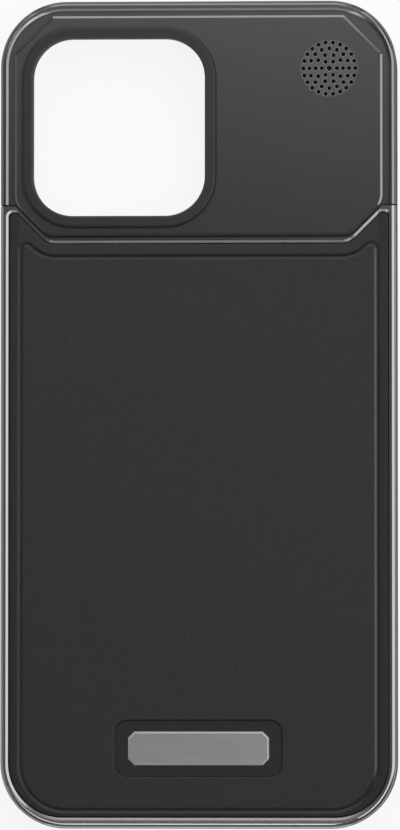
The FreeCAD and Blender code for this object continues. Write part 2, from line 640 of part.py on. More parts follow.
def make_upper_lining():
    body = new_body("upper_lining")
    sheet_x = f"{CAVITY_HALF_X} - sizes.lining_margin"
    sheet_y = f"{CAVITY_HALF_Y} - sizes.lining_margin"
    inset = "(sizes.lap_length + sizes.slide_clearance + sizes.lining_margin)"
    low = f"{CAP_END} + {inset}"
    right_side = [
        (*chevron_corner(CAP_EDGE, f"-{inset}"), "0"),
        (chevron_x(CAP_EDGE, f"-{inset}", low), low, "0"),
        (sheet_x, low, "0"),
        (sheet_x, sheet_y, f"{CAVITY_CORNER} - sizes.lining_margin"),
    ]
    layer = new_sketch(body, "layer", LINING_FACE)
    draw_outline(layer, mirrored(right_side))
    draw_outline(layer, window_outline("sizes.guard_spigot + sizes.lining_margin"))
    draw_circle(layer, GRILLE_X, GRILLE_Y, f"2 * {COVER_RADIUS} + 2 * sizes.lining_margin")
    pad(body, layer, "sizes.lining_thickness")
    return body


def make_lower_frame():
    body = new_body("lower_frame")
    hollow_block(body)
    cut_at_seam(body, "seam", FRAME_END, FRAME_EDGE, f"{CASE_HALF_Y} + {OVERRUN}")

    # Bed of the leather, bordered by the rails and the bead
    bed = new_sketch(body, "leather_bed", RAIL_TOP)
    draw_outline(bed, leather_outline("0"))
    recess = pocket(body, bed, f"{RAIL_TOP} - {FLOOR_TOP}")
    bead = edges_at(recess, RAIL_TOP, above_walls(recess, FLOOR_TOP))
    slope(body, recess, bead, "sizes.rail_slope", "sizes.rail_slope_depth")

    # Lap under the cap's plate and tongues into its rails
    lap = new_sketch(body, "lap", INNER_FACE)
    draw_outline(lap, lap_outline("0"))
    pad(body, lap, "sizes.floor_thickness")
    tongues = new_sketch(body, "tongues", f"{MID_DEPTH} - sizes.tongue_height / 2")
    tongue_outer = f"{CAVITY_HALF_X} + sizes.tongue_thickness"
    tongue_top = f"{CAP_END} + sizes.tongue_length"
    draw_both_sides(tongues, CAVITY_HALF_X, tongue_outer, f"{FRAME_END} - {OVERRUN}", tongue_top)
    pad(body, tongues, "sizes.tongue_height")

    # Finger bays, slots and inner pockets of the keys
    cut_key_wall(body, "volume", 1, *VOLUME_ROW)
    cut_key_wall(body, "power", -1, *POWER_ROW)

    # Port opening and sound holes through the end wall
    port = new_sketch(body, "port", CASE_HALF_Y, "XZ_Plane")
    draw_slot(port, "0", MID_DEPTH, "sizes.port_width", "sizes.port_height")
    for hole in range(VENT_HOLES):
        for side in ("", "-"):
            vent_x = f"{side}(sizes.vent_start + {hole} * sizes.vent_pitch)"
            draw_circle(port, vent_x, MID_DEPTH, "sizes.vent_hole")
    pocket(body, port, f"sizes.end_wall + {OVERRUN}")
    return body


def leather_outline(inset):
    """Corners of the leather's bed, or of an outline inset from it."""
    half_x = f"{CASE_HALF_X} - sizes.side_rail - ({inset})"
    bottom = f"sizes.bottom_rail - {CASE_HALF_Y} + ({inset})"
    ear_x = f"{half_x} - sizes.ear_width"
    ear = chevron_height(FRAME_EDGE, f"sizes.bead_slope_width + ({inset})", ear_x)
    return mirrored([
        (half_x, bottom, f"sizes.leather_corner - ({inset})"),
        (half_x, ear, "sizes.ear_round"),
        (ear_x, ear, "sizes.ear_round"),
        (*bead_corner(inset), f"sizes.chevron_round + sizes.bead_width + ({inset})"),
    ])


def bead_corner(inset):
    """Where the bead's border with the leather, moved down by inset, turns into the slope."""
    height = f"{FRAME_EDGE} - sizes.bead_width - ({inset})"
    return chevron_x(FRAME_EDGE, f"sizes.bead_slope_width + ({inset})", height), height


def cut_key_wall(body, name, side, middles, length, bay_middle, spread):
    """Cuts one long wall for its keys: a finger bay outside, slots through, room for flanges and strip."""
    sign = "" if side > 0 else "-"
    outside = f"{sign}{CASE_HALF_X}"
    inside_wall = f"{sign}{CAVITY_HALF_X}"
    from_inside = side > 0

    bay = new_sketch(body, f"{name}_bay", outside, "YZ_Plane")
    draw_outline(bay, key_field("sizes.bay_reach", "sizes.bay_corner", length, bay_middle, spread))
    pocket(body, bay, "sizes.bay_depth", along_normal=not from_inside)

    slots = new_sketch(body, f"{name}_slots", outside, "YZ_Plane")
    for middle in middles:
        draw_key(slots, middle, length, "sizes.key_clearance")
    pocket(body, slots, "sizes.side_wall", along_normal=not from_inside)

    flanges = new_sketch(body, f"{name}_flange_rooms", inside_wall, "YZ_Plane")
    for middle in middles:
        draw_key(flanges, middle, length, "sizes.key_flange_reach + sizes.key_clearance")
    pocket(body, flanges, FLANGE_POCKET, along_normal=from_inside)

    strip = new_sketch(body, f"{name}_strip_seat", inside_wall, "YZ_Plane")
    margin = "(sizes.retainer_reach + sizes.fit_clearance)"
    draw_outline(strip, key_field(margin, "sizes.retainer_corner", length, bay_middle, spread))
    pocket(body, strip, "sizes.retainer_thickness", along_normal=from_inside)


def key_field(reach, corner, length, middle, spread):
    """Corners of a field round a row of keys in a long wall, seen along X."""
    half_y = f"(({length}) / 2 + {spread} / 2 + {reach})"
    half_z = f"(sizes.key_height / 2 + {reach})"
    return rectangle(half_y, half_z, corner, middle, MID_DEPTH)


def draw_key(sketch, middle, length, margin):
    """Draws the outline of a key's face, grown by a margin."""
    draw_slot(sketch, middle, MID_DEPTH, f"{length} + 2 * ({margin})", f"sizes.key_height + 2 * ({margin})")


def make_key(name, side, middle, length):
    """A key: a face through the wall's slot, a flange behind it and a nub that meets the phone's button."""
    body = new_body(name)
    sign = "" if side > 0 else "-"
    outwards = side > 0

    def layer(part, start, end, long_margin, high_margin):
        base = start if outwards else end
        sketch = new_sketch(body, part, f"{sign}({base})", "YZ_Plane")
        key_length = f"{length} + 2 * {long_margin}"
        key_height = f"sizes.key_height + 2 * {high_margin}"
        draw_slot(sketch, middle, MID_DEPTH, key_length, key_height)
        return pad(body, sketch, f"({end}) - ({start})")

    face = layer("face", FLANGE_INSIDE, CASE_HALF_X, "0", "0")
    rim = [
        f"Edge{number}"
        for number, edge in enumerate(face.Shape.Edges, start=1)
        if all(abs(abs(vertex.X) - value(CASE_HALF_X)) < TOLERANCE for vertex in edge.Vertexes)
    ]
    fillet(body, face, rim, "sizes.key_round")
    layer("flange", FLANGE_INSIDE, FLANGE_OUTSIDE, "sizes.key_flange_reach", "sizes.key_flange_reach")
    nub_end = f"{FLANGE_INSIDE} - sizes.key_nub_reach"
    layer("nub", nub_end, FLANGE_INSIDE, "-sizes.key_nub_inset", "-sizes.key_nub_lower")
    return body


def make_retainer(name, side, middles, length, field_middle, spread):
    """The thin strip that closes the keys' pockets, slotted for their nubs."""
    body = new_body(name)
    base = CAVITY_HALF_X if side > 0 else f"-({CAVITY_HALF_X} + sizes.retainer_thickness)"
    strip = new_sketch(body, "strip", base, "YZ_Plane")
    field = key_field("sizes.retainer_reach", "sizes.retainer_corner", length, field_middle, spread)
    draw_outline(strip, field)
    for middle in middles:
        draw_slot(strip, middle, MID_DEPTH, f"{length} - sizes.key_nub_inset", "sizes.retainer_slot_height")
    pad(body, strip, "sizes.retainer_thickness")
    return body


def make_leather_panel():
    """The leather back, with a pressed groove along its border and a pressed field for the badge."""
    body = new_body("leather_panel")
    blank = new_sketch(body, "blank", FLOOR_TOP)
    draw_outline(blank, leather_outline("sizes.leather_clearance"))
    panel = pad(body, blank, "sizes.leather_thickness")
    panel = fillet(body, panel, edges_at(panel, LEATHER_TOP), "sizes.leather_round")

    floor_of_groove = f"{LEATHER_TOP} - sizes.groove_depth"
    groove = new_sketch(body, "groove", LEATHER_TOP)
    draw_outline(groove, groove_outline("0"))
    pressed = pocket(body, groove, "sizes.groove_depth")
    lips = edges_at(pressed, LEATHER_TOP, above_walls(pressed, floor_of_groove))
    slope(body, pressed, lips, "sizes.groove_slope", "sizes.groove_slope_depth")

    middle = new_sketch(body, "middle", floor_of_groove)
    draw_outline(middle, groove_outline("sizes.groove_width"))
    raised = pad(body, middle, "sizes.groove_depth")
    lips = edges_at(raised, LEATHER_TOP, above_walls(raised, floor_of_groove))
    slope(body, raised, lips, "sizes.groove_slope", "sizes.groove_slope_depth")

    field = new_sketch(body, "badge_field", LEATHER_TOP)
    draw_outline(field, badge_outline("sizes.field_width", "sizes.field_length", "sizes.field_corner"))
    pressed = pocket(body, field, "sizes.field_depth")
    rim = edges_at(pressed, LEATHER_TOP, above_walls(pressed, f"{LEATHER_TOP} - sizes.field_depth"))
    chamfer(body, pressed, rim, "sizes.field_slope")

    opening = new_sketch(body, "badge_opening", FLOOR_TOP)
    draw_outline(opening, cut_rectangle("sizes.fit_clearance"))
    pocket(body, opening, "sizes.leather_thickness", along_normal=True)
    return body


def groove_outline(width):
    """Corners of the pressed groove's outer border, or of its inner border one width in."""
    half_x = f"{CASE_HALF_X} - sizes.side_rail - sizes.groove_side_inset - {width}"
    bottom = f"sizes.bottom_rail - {CASE_HALF_Y} + sizes.groove_bottom_inset + {width}"
    inset = f"sizes.groove_inset + {width}"
    upper = chevron_height(FRAME_EDGE, f"sizes.bead_slope_width + {inset}", half_x)
    return mirrored([
        (half_x, bottom, f"sizes.groove_corner - {width}"),
        (half_x, upper, f"sizes.groove_round - {width}"),
        (*bead_corner(inset), f"sizes.chevron_round + sizes.bead_width + {inset}"),
    ])


def badge_outline(width, length, corner):
    return rectangle(f"{width} / 2", f"{length} / 2", corner, "0", BADGE_Y)


def cut_rectangle(margin):
    """Corners of the badge's outline, with its corners cut off, grown by a margin."""
    half_x = f"sizes.badge_width / 2 + {margin}"
    half_y = f"(sizes.badge_length / 2 + {margin})"
    cut = f"sizes.badge_cut + ({margin}) * (2 - sqrt(2))"
    upper = f"{BADGE_Y} + {half_y}"
    lower = f"{BADGE_Y} - {half_y}"
    return mirrored([
        (f"{half_x} - ({cut})", lower, "0"),
        (half_x, f"{lower} + {cut}", "0"),
        (half_x, f"{upper} - ({cut})", "0"),
        (f"{half_x} - ({cut})", upper, "0"),
    ])


def make_badge_plate():
    body = new_body("badge_plate")
    blank = new_sketch(body, "blank", FLOOR_TOP)
    draw_outline(blank, cut_rectangle("0"))
    plate = pad(body, blank, "sizes.leather_thickness + sizes.badge_rise")
    top = f"{LEATHER_TOP} + sizes.badge_rise"
    chamfer(body, plate, edges_at(plate, top), "sizes.badge_bevel")
    return body


def make_lower_lining():
    body = new_body("lower_lining")
    sheet_x = f"{CAVITY_HALF_X} - sizes.lining_margin"
    bottom = f"sizes.lining_margin - {CAVITY_HALF_Y}"
    high = f"{FRAME_END} - sizes.lining_margin"
    layer = new_sketch(body, "layer", LINING_FACE)
    draw_outline(layer, mirrored([
        (sheet_x, bottom, f"{CAVITY_CORNER} - sizes.lining_margin"),
        (sheet_x, high, "0"),
        (chevron_x(FRAME_EDGE, "sizes.lining_margin", high), high, "0"),
        (*chevron_corner(FRAME_EDGE, "sizes.lining_margin"), "sizes.chevron_round"),
    ]))
    pad(body, layer, "sizes.lining_thickness")
    return body


pieces = [
    make_upper_shell(),
    make_camera_guard(),
    make_scent_tablet(),
    make_scent_cover(),
    make_upper_lining(),
    make_lower_frame(),
    make_leather_panel(),
    make_badge_plate(),
    make_lower_lining(),
    make_key("volume_up_key", 1, VOLUME_UP_Y, "sizes.volume_key_length"),
    make_key("volume_down_key", 1, VOLUME_DOWN_Y, "sizes.volume_key_length"),
    make_key("power_key", -1, POWER_Y, "sizes.power_key_length"),
    make_retainer("volume_retainer", 1, *VOLUME_ROW),
    make_retainer("power_retainer", -1, *POWER_ROW),
]
doc.recompute()

failed = [item.Label for item in doc.Objects if {"Invalid", "Error"} & set(item.State)]
failed += [piece.Label for piece in pieces if piece.Shape.isNull() or not piece.Shape.isValid()]
failed += [piece.Label for piece in pieces if len(piece.Shape.Solids) != 1]
if failed:
    raise RuntimeError(f"these did not build: {failed}")
os.makedirs("parts", exist_ok=True)
for piece in pieces:
    piece.Shape.exportStep(f"parts/{piece.Label}.step")
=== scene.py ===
import math

import bmesh
import bpy
from mathutils import Matrix, Vector, noise


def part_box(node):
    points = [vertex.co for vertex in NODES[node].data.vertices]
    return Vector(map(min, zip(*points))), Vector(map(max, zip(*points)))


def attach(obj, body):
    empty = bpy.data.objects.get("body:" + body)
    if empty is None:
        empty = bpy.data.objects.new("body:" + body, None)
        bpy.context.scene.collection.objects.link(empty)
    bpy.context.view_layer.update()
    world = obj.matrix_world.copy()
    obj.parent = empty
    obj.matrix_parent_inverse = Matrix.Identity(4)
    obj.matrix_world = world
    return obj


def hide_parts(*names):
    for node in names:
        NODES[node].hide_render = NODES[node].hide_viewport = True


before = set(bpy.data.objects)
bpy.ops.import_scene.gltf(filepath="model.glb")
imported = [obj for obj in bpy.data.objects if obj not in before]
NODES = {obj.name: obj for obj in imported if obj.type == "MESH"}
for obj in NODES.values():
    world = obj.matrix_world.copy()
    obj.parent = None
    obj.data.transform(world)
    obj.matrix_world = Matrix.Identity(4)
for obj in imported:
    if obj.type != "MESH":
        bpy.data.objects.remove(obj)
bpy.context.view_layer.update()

MM = 0.001

# Places on the case are in millimetres, and levels count from the plane that it lies on.
# A pair gives the two ends of a soft rise, or of a band.

# The rails, where they are polished along the case.
RAIL_TOP = 12.0
RAIL_BAND = (RAIL_TOP - 0.2, RAIL_TOP + 0.05)
SIDE_RAILS = (36.0, 38.0)
FOOT_RAIL = (-75.0, -65.0)
# Cut edges with a painted highlight, at the foot, and with painted shade, inside the cap's top
# rail.
FOOT_EDGE = (-84.1, -83.9)
FOOT_PAINTED_HIGHLIGHT = 1.65
HEAD_EDGE = (82.6, 83.9)
HEAD_PAINTED_SHADE = 0.45

# The cap's raised plate, and the round grille in it with the countersunk rims of its holes.
PLATE_RISE = (RAIL_TOP + 0.05, RAIL_TOP + 0.15)
PLATE_MIDDLE = 60.0
GRILLE_MIDDLE = (26.9, 70.95)
GRILLE_BORDER = (5.6, 6.1)
# The holes' countersinks are painted nearly black low down, a painted shade, and pale at the rim,
# a painted highlight.
HOLE_RIM = (RAIL_TOP + 0.2, RAIL_TOP + 0.27)
HOLE_PAINTED_SHADE = 0.2
RIM_PAINTED_HIGHLIGHT = 1.5
# One corner of the cap's channel, and the ends of the upper edge of the plate's wall beside it.
CHANNEL_CORNER = Vector((39.1, 71.45, 11.5)) * MM
WALL_ENDS = (Vector((37.8, 73.67, 12.15)) * MM, Vector((37.8, 45.02, 12.15)) * MM)

# The leather, the lips of what is pressed into it, and its slight unevenness.
LEATHER_TOP = 11.75
LEATHER_BED = 10.65
LEATHER_DEPTH = LEATHER_TOP - LEATHER_BED
LEATHER_LIPS = LEATHER_TOP - 0.05
LEATHER_GRID = 2.0
WAVE_HEIGHT = 0.02
WAVES_PER_METRE = 90
# The groove: the middle of its lower right corner, and how far from there the border begins.
GROOVE_DEPTH = 0.3
GROOVE_CORNER = (27.25, -71.87)
BORDER_RISE = (9.3, 10.1)
BORDER_SHARE = 0.85
# Where the groove's upper line is burnished, the badge's field, and the groove's rubbed lip.
# Pressed leather darkens with its depth, a burnished tint together with painted shade.
UPPER_LINE = (24.0, 30.0)
UPPER_LINE_ENDS = (33.5, 35.5)
BADGE_FIELD = (-76.0, -61.0)
RUBBED_LIP = (35.9, 36.65)
BROWN_DARK = (0.0125, 0.009, 0.0078, 1.0)
BROWN_PALE = (0.0225, 0.0165, 0.014, 1.0)
BURNISH_AND_SHADE_COLOUR = (0.012, 0.0054, 0.0048, 1.0)

# How far a face looks up, from 0 on a wall to 1 on a flat.
FLAT_UP = (0.965, 0.995)
WALL_UP = (0.3, 0.7)
COUNTERSINK_UP = (0.6, 0.82)
LEATHER_UP = (0.9, 0.985)
SHEET_UP = (0.86, 0.985)

# Roughness of blasted walls and of glossier sheet edges, and how bright the painted highlight on
# those edges is.
BLASTED = 0.62
SHEET_EDGE = 0.2
SHEET_PAINTED_HIGHLIGHT = 2.1

# Roundings of the soft pieces, and the angles of meshes.
LEATHER_ROUND = 0.08
LINING_ROUND = 0.12
FELT_ROUND = 0.25
ROUND_STEPS = 3
WELD = 0.001 * MM
CUT_REACH = 0.01 * MM
ONE_FLAT = math.radians(1.0)
LEVEL = math.cos(math.radians(1.5))
CREASE = math.radians(18)
METAL_SHARP = math.radians(10)
SOFT_SHARP = math.radians(60)

# Picture, camera, room and floor.
PICTURE_HEIGHT_PX = 830
PIXELS_PER_MM = 4.876
LENS_MM = 300.0
SENSOR_MM = 36.0
CAMERA_LEAN = (2.6, -2.3)
CAMERA_TARGET = Vector((0.33, -0.24, 12.0)) * MM
ROOM_LEVEL = 0.15
WALL_FADE = (0.08, 0.2)
FLOOR_SIDE = 60.0
FLOOR_DROP = 0.05 * MM
FLOOR_PALE = 0.93
FLOOR_GLOW = 0.88

# Sockets of a Mix node that mixes colours.
MIX_FACTOR, MIX_FIRST, MIX_SECOND, MIX_RESULT = 0, 6, 7, 2


class Shade:
    """One socket in a material's nodes. Sums that are written with it add their Math nodes."""

    def __init__(self, tree, socket=None):
        self.tree = tree
        self.socket = socket

    def node(self, kind, settings=None, values=None, output=0):
        """Adds a node, sets its settings and then its sockets, and returns one of its outputs."""
        made = self.tree.nodes.new(kind)
        for name, setting in (settings or {}).items():
            setattr(made, name, setting)
        for key, value in (values or {}).items():
            if isinstance(value, Shade):
                self.tree.links.new(value.socket, made.inputs[key])
            else:
                made.inputs[key].default_value = value
        return Shade(self.tree, made.outputs[output])

    def maths(self, operation, *values):
        return self.node("ShaderNodeMath", {"operation": operation}, dict(enumerate(values)))

    def __add__(self, other):
        return self.maths("ADD", self, other)

    __radd__ = __add__

    def __sub__(self, other):
        return self.maths("SUBTRACT", self, other)

    def __rsub__(self, other):
        return self.maths("SUBTRACT", other, self)

    def __mul__(self, other):
        return self.maths("MULTIPLY", self, other)

    __rmul__ = __mul__

    def __abs__(self):
        return self.maths("ABSOLUTE", self)

    def root(self):
        return self.maths("SQRT", self)

    def most(self, other):
        return self.maths("MAXIMUM", self, other)

    def axis(self, letter):
        """One part of a vector."""
        return self.node("ShaderNodeSeparateXYZ", values={0: self}, output=letter)

    def step(self, low, high):
        """0 below low, 1 above high and a soft rise between them."""
        values = {"Value": self, "From Min": low, "From Max": high}
        return self.node("ShaderNodeMapRange", {"interpolation_type": "SMOOTHSTEP"}, values)

    def band(self, low, high, soft):
        """1 between low and high and 0 outside them."""
        return self.step(low - soft, low + soft) * (1 - self.step(high - soft, high + soft))

    def about(self, middle, spread):
        """This noise, as a value that varies by the spread about a middle."""
        return middle + spread * (self - 0.5)

    def blend(self, first, second):
        """A colour that goes from the first to the second as this value goes from 0 to 1."""
        values = {MIX_FACTOR: self, MIX_FIRST: first, MIX_SECOND: second}
        return self.node("ShaderNodeMix", {"data_type": "RGBA"}, values, MIX_RESULT)

    def greys(self, level, low, high):
        """A grey that goes from low to high times the level as this value goes from 0 to 1."""
        return self.blend(grey(level * low), grey(level * high))


class Finish(Shade):
    """A material on a principled shader, with the places and slopes of the piece it covers."""

    def __init__(self, name, constants):
        self.material = bpy.data.materials.new(name)
        self.material.use_nodes = True
        super().__init__(self.material.node_tree)
        self.shader = self.tree.nodes["Principled BSDF"]
        for socket, value in constants.items():
            self.shader.inputs[socket].default_value = value
        self.place = self.node("ShaderNodeTexCoord", output="Object")
        self.x, self.y, self.z = [self.place.axis(letter) * (1 / MM) for letter in "XYZ"]
        self.up = self.node("ShaderNodeNewGeometry", output="Normal").axis("Z")

    def grain(self, size_mm, detail=2.0, roughness=0.5, stretch=(1, 1, 1)):
        """Soft noise whose features are about that size in millimetres."""
        scaled = self.node("ShaderNodeMapping", values={"Vector": self.place, "Scale": stretch})
        values = {"Vector": scaled, "Scale": 1 / (size_mm * MM)}
        values.update({"Detail": detail, "Roughness": roughness})
        return self.node("ShaderNodeTexNoise", values=values, output="Fac")

    def cells(self, size_mm):
        """Distance to the border of irregular cells of about that size in millimetres."""
        values = {"Vector": self.place, "Scale": 1 / (size_mm * MM), "Randomness": 1.0}
        settings = {"feature": "DISTANCE_TO_EDGE"}
        return self.node("ShaderNodeTexVoronoi", settings, values, "Distance")

    def wear(self, links):
        """Connects what varies over the surface to the shader."""
        for socket, value in links.items():
            self.tree.links.new(value.socket, self.shader.inputs[socket])

    def relief(self, height, depth_mm, strength):
        """Bumps of that depth, from a height that runs from 0 to 1."""
        values = {"Height": height, "Distance": depth_mm * MM, "Strength": strength}
        self.wear({"Normal": self.node("ShaderNodeBump", values=values)})

    def cover(self, *objects):
        """Puts the material on pieces, in the place of what they have."""
        for piece in objects:
            piece.data.materials.clear()
            piece.data.materials.append(self.material)


def grey(level, warmth=0.0):
    return (level * (1 + warmth), level, level * (1 - warmth), 1.0)


def distance(across, along):
    return (across * across + along * along).root()


def anodised(name, flat, cut, wall, roughness, polish, painted_light_gradient=0.0, grille_painted_highlight=0.0):
    """Metal with a satin flat, cut edges that are polished, and blasted upright walls.

    Flat, cut and wall are levels of grey, and roughness and polish are the roughness of the flat
    and of the cut edges. The second to last argument is how fast the flat gets paler towards the
    camera end, a painted light gradient. The last is how far the flat between the grille's holes
    is lightened to the colour of the cut edges, a painted highlight.
    """
    finish = Finish(name, {"Specular IOR Level": 0.15})
    sloped = 1 - finish.up.step(*FLAT_UP)
    raised = finish.z.step(*PLATE_RISE)
    upright = 1 - (finish.up + 0.1 * raised).step(*WALL_UP)
    lengthwise = abs(finish.x).step(*SIDE_RAILS).most(1 - finish.y.step(*FOOT_RAIL))
    rail = finish.z.band(*RAIL_BAND, soft=0.04) * lengthwise
    polished = sloped.most(rail) * (1 - upright)
    bored = raised * finish.up.band(*COUNTERSINK_UP, soft=0.05)
    rims = finish.z.step(*HOLE_RIM)
    off_middle = distance(finish.x - GRILLE_MIDDLE[0], finish.y - GRILLE_MIDDLE[1])
    grille = 1 - off_middle.step(*GRILLE_BORDER)

    speckle = finish.grain(0.16, detail=3.0)
    strokes = finish.grain(0.3, detail=3.0, stretch=(1.0, 0.03, 1.0))
    cloud = finish.grain(9.0)
    tone = 0.5 * speckle + 0.3 * strokes + 0.2 * cloud

    # Paler towards the camera end: a painted light gradient.
    flat_colour = (tone + painted_light_gradient * (finish.y - PLATE_MIDDLE)).greys(flat, 0.8, 1.2)
    # The foot's outer cut edge is paler, a painted highlight; the cut edge inside the cap's top
    # rail is darker, a painted shade.
    foot = (1 - finish.y.step(*FOOT_EDGE)).greys(cut, 1.0, FOOT_PAINTED_HIGHLIGHT)
    edges = finish.y.band(*HEAD_EDGE, soft=0.1).blend(foot, grey(HEAD_PAINTED_SHADE * cut))
    # Between the grille's holes the flat is lightened towards the cut colour: a painted highlight.
    cut_colour = polished.most(grille_painted_highlight * grille).blend(flat_colour, edges)
    wall_colour = tone.greys(wall, 0.8, 1.2)
    # Countersinks: painted shade low down and a painted highlight at the rim.
    bore_colour = rims.blend(grey(HOLE_PAINTED_SHADE * wall), grey(RIM_PAINTED_HIGHLIGHT * cut))
    colour = bored.blend(upright.blend(cut_colour, wall_colour), bore_colour)

    satin = speckle.about(roughness, 0.1)
    rough = satin + polished * (polish - roughness) + upright * (BLASTED - roughness)
    metallic = 1 - 0.9 * upright.most(bored)
    finish.wear({"Base Color": colour, "Roughness": rough, "Metallic": metallic})
    finish.relief(speckle * (1 - polished), depth_mm=0.006, strength=0.35)
    return finish


def leather_finish():
    """Black leather, brown outside its groove, with pressed lines darkened by a burnished tint and
    painted shade, and one rubbed lip.
    """
    constants = {"Specular IOR Level": 0.32, "Sheen Weight": 0.04, "Coat Roughness": 0.28}
    finish = Finish("grained_leather", constants)
    plump = finish.cells(0.62).step(0.0, 0.32)
    creases = finish.grain(1.6, detail=4.0, roughness=0.62)
    fine = finish.grain(0.28)
    cloud = finish.grain(14.0, detail=3.0)
    tone = 0.25 + 0.35 * plump + 0.25 * cloud + 0.15 * creases

    field = tone.blend(grey(0.0145, warmth=0.02), grey(0.031, warmth=0.01))
    across = (abs(finish.x) - GROOVE_CORNER[0]).most(0.0)
    along = (GROOVE_CORNER[1] - finish.y).most(0.0)
    outside = distance(across, along).step(*BORDER_RISE)
    border = (BORDER_SHARE * outside).blend(field, tone.blend(BROWN_DARK, BROWN_PALE))
    pressed = finish.node("ShaderNodeAttribute", {"attribute_name": "pressed"}, output="Fac")
    upper = finish.y.step(*UPPER_LINE) * (1 - abs(finish.x).step(*UPPER_LINE_ENDS))
    badge = finish.y.band(*BADGE_FIELD, soft=0.5)
    # Darker the deeper the leather is pressed, most on the groove's upper line: burnish together
    # with painted shade.
    burnish_and_shade = pressed * (0.25 + 0.75 * upper.most(0.35 * badge))
    colour = burnish_and_shade.blend(border, BURNISH_AND_SHADE_COLOUR)

    shoulder = 1 - finish.up.step(*LEATHER_UP)
    rough = cloud.about(0.62, 0.08) - 0.1 * plump - 0.26 * shoulder
    rubbed = 0.8 * shoulder * finish.x.band(*RUBBED_LIP, soft=0.1)
    finish.wear({"Base Color": colour, "Roughness": rough, "Coat Weight": rubbed})
    height = 0.55 * plump + 0.3 * creases + 0.15 * fine
    finish.relief(height * (1 - 0.7 * shoulder), depth_mm=0.05, strength=0.5)
    return finish


def brushed(name, level, roughness):
    """Brushed sheet metal with glossy edges that carry a painted highlight. The strokes run across
    the case.
    """
    finish = Finish(name, {})
    strokes = finish.grain(0.12, detail=3.0, stretch=(0.03, 1.0, 1.0))
    broad = finish.grain(0.9, stretch=(0.06, 1.0, 1.0))
    sloped = 1 - finish.up.step(*SHEET_UP)
    face = (0.5 * strokes + 0.5 * broad).greys(level, 0.78, 1.22)
    # The sloped edges get a pale colour that is only partly metallic: a painted highlight.
    colour = sloped.blend(face, grey(SHEET_PAINTED_HIGHLIGHT * level))
    rough = strokes.about(roughness, 0.16) - sloped * (roughness - SHEET_EDGE)
    finish.wear({"Base Color": colour, "Roughness": rough, "Metallic": 1 - 0.7 * sloped})
    finish.relief(strokes, depth_mm=0.004, strength=0.3)
    return finish


def cloth(name, level, pile_mm, depth_mm):
    """Short pile or felt."""
    finish = Finish(name, {"Specular IOR Level": 0.2, "Sheen Weight": 0.3})
    pile = finish.grain(pile_mm, detail=3.0, roughness=0.7)
    brush = finish.grain(6.0)
    colour = (0.65 * pile + 0.35 * brush).greys(level, 0.6, 1.5)
    finish.wear({"Base Color": colour, "Roughness": pile.about(0.85, 0.12)})
    finish.relief(pile, depth_mm, strength=0.8)
    return finish


def moulded(name, level):
    """Matt plastic with a fine spark-eroded surface."""
    finish = Finish(name, {"Specular IOR Level": 0.4})
    spark = finish.grain(0.22)
    cloud = finish.grain(5.0)
    colour = (0.5 * spark + 0.5 * cloud).greys(level, 0.8, 1.25)
    finish.wear({"Base Color": colour, "Roughness": spark.about(0.5, 0.15)})
    finish.relief(spark, depth_mm=0.01, strength=0.4)
    return finish


def new_object(name, data):
    made = bpy.data.objects.new(name, data)
    bpy.context.scene.collection.objects.link(made)
    return made


def welded(node, name):
    """A new object, and the node's skin for it, welded."""
    skin = bmesh.new()
    skin.from_mesh(NODES[node].data)
    bmesh.ops.remove_doubles(skin, verts=skin.verts, dist=WELD)
    return new_object(name, bpy.data.meshes.new(name)), skin


def merged(node, name):
    """The same, with its flat faces whole again."""
    piece, skin = welded(node, name)
    bmesh.ops.dissolve_limit(skin, angle_limit=ONE_FLAT, verts=skin.verts, edges=skin.edges,
                             delimit=set())
    return piece, skin


def soften(skin, radius_mm, above_mm):
    """Rounds every crease that borders a level face and lies above a height."""
    sharp = [edge for edge in skin.edges
             if edge.calc_face_angle(0) > CREASE
             and max(abs(face.normal.z) for face in edge.link_faces) > LEVEL
             and min(vertex.co.z for vertex in edge.verts) > above_mm * MM]
    bmesh.ops.bevel(skin, geom=sharp, offset=radius_mm * MM, offset_type="OFFSET",
                    segments=ROUND_STEPS, profile=0.5, affect="EDGES", clamp_overlap=True,
                    material=-1)


def rule(skin, low, high, pitch_mm):
    """Cuts the skin along a square grid, so that it can be moulded."""
    for axis in range(2):
        across = Vector((1.0 - axis, float(axis), 0.0))
        count = int((high[axis] - low[axis]) / (pitch_mm * MM))
        for line in range(1, count + 1):
            place = across * (low[axis] + line * pitch_mm * MM)
            parts = skin.verts[:] + skin.edges[:] + skin.faces[:]
            bmesh.ops.bisect_plane(skin, geom=parts, plane_co=place, plane_no=across,
                                   dist=CUT_REACH)


def settle(piece, skin, sharp):
    """Puts the skin into its piece, smooth except at edges that are at least that sharp."""
    for face in skin.faces:
        face.smooth = True
    for edge in skin.edges:
        edge.smooth = edge.calc_face_angle(0) < sharp
    skin.to_mesh(piece.data)
    skin.free()


def nearest(skin, place):
    return min(skin.verts, key=lambda vertex: (vertex.co - place).length)


def make_cap():
    """The cap's shell, with the edges that span its channel turned into the foot of the wall."""
    piece, skin = welded("upper_shell", "cap_shell")
    for end in WALL_ENDS:
        edge = skin.edges.get((nearest(skin, CHANNEL_CORNER), nearest(skin, end)))
        if edge:
            bmesh.ops.rotate_edges(skin, edges=[edge], use_ccw=False)
    settle(piece, skin, METAL_SHARP)
    shading = piece.modifiers.new("flat_faces_first", "WEIGHTED_NORMAL")
    shading.keep_sharp = True
    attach(piece, "cap")
    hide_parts("upper_shell")
    return piece


